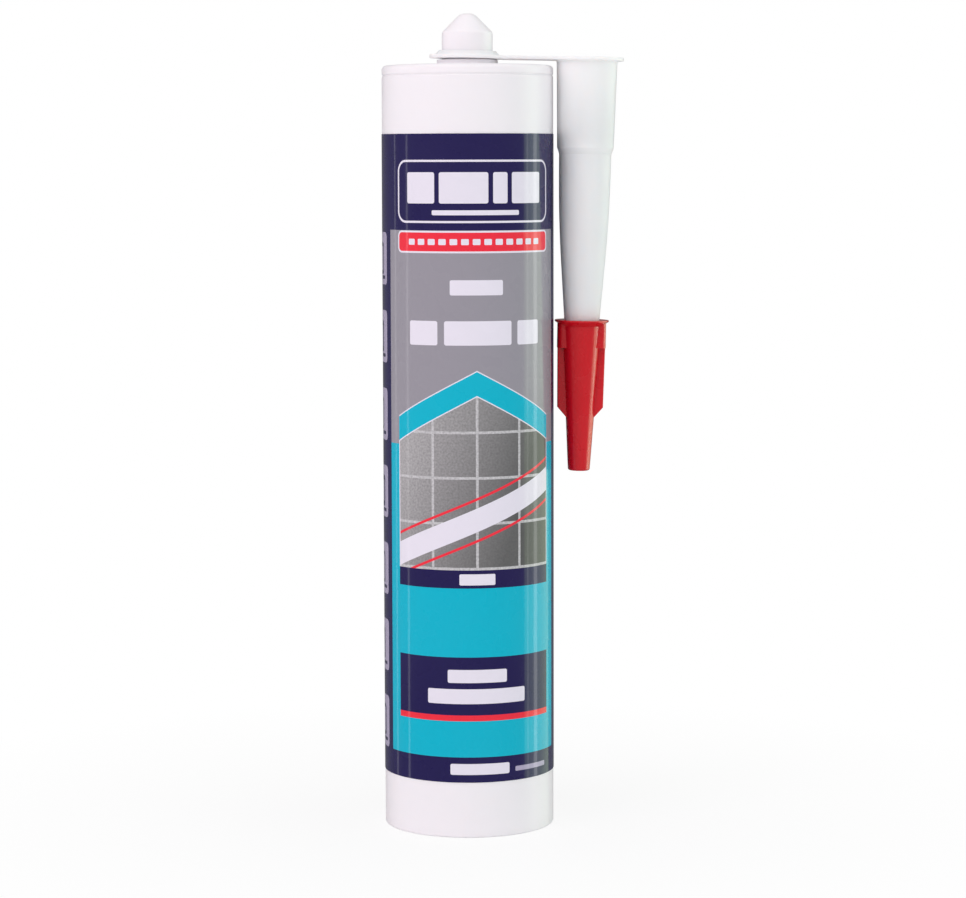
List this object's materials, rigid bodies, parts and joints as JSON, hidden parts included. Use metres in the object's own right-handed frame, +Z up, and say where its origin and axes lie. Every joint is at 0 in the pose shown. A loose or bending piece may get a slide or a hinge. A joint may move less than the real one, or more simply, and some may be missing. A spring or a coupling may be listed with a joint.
{
  "type": "caulk tube",
  "caption": "Upright caulk cartridge: white barrel with printed wrap, follower piston and paste, and a spare tapered nozzle with a grip cap hung from its neck.",
  "frame": {"origin": "centre of the barrel's open end, on the barrel's axis, in the plane of the rim that it stands on", "axes": "+Z up the barrel's axis to the closed neck, +X towards the hung nozzle, -Y towards the middle of the printed front"},
  "size_m": [0.0701, 0.0498, 0.2361],
  "materials": {
    "barrel_white": "satin white moulding",
    "label_film": "glossy printed film",
    "piston_white": "matt natural white",
    "sealant_paste": "smooth paste",
    "nozzle_natural": "translucent natural moulding",
    "cap_red": "glossy red moulding"
  },
  "bodies": {
    "cartridge": {"barrel": "barrel_white", "label": "label_film", "sealant": "sealant_paste"},
    "follower": {"piston": "piston_white"},
    "spout": {"nozzle": "nozzle_natural"},
    "cap": {"nozzle_cap": "cap_red"}
  },
  "joints": [
    {"name": "piston_slide", "type": "slide", "parent": "cartridge", "child": "follower", "axis": [0, 0, 1], "range_m": [0, 0.178], "deforming": ["sealant"]},
    {"name": "nozzle_swivel", "type": "hinge", "parent": "cartridge", "child": "spout", "pos_m": [0, 0, 0.2232], "axis": [0, 0, 1], "continuous": true},
    {"name": "cap_pull", "type": "slide", "parent": "spout", "child": "cap", "axis": [0, 0, -1], "range_m": [0, 0.045]}
  ]
}
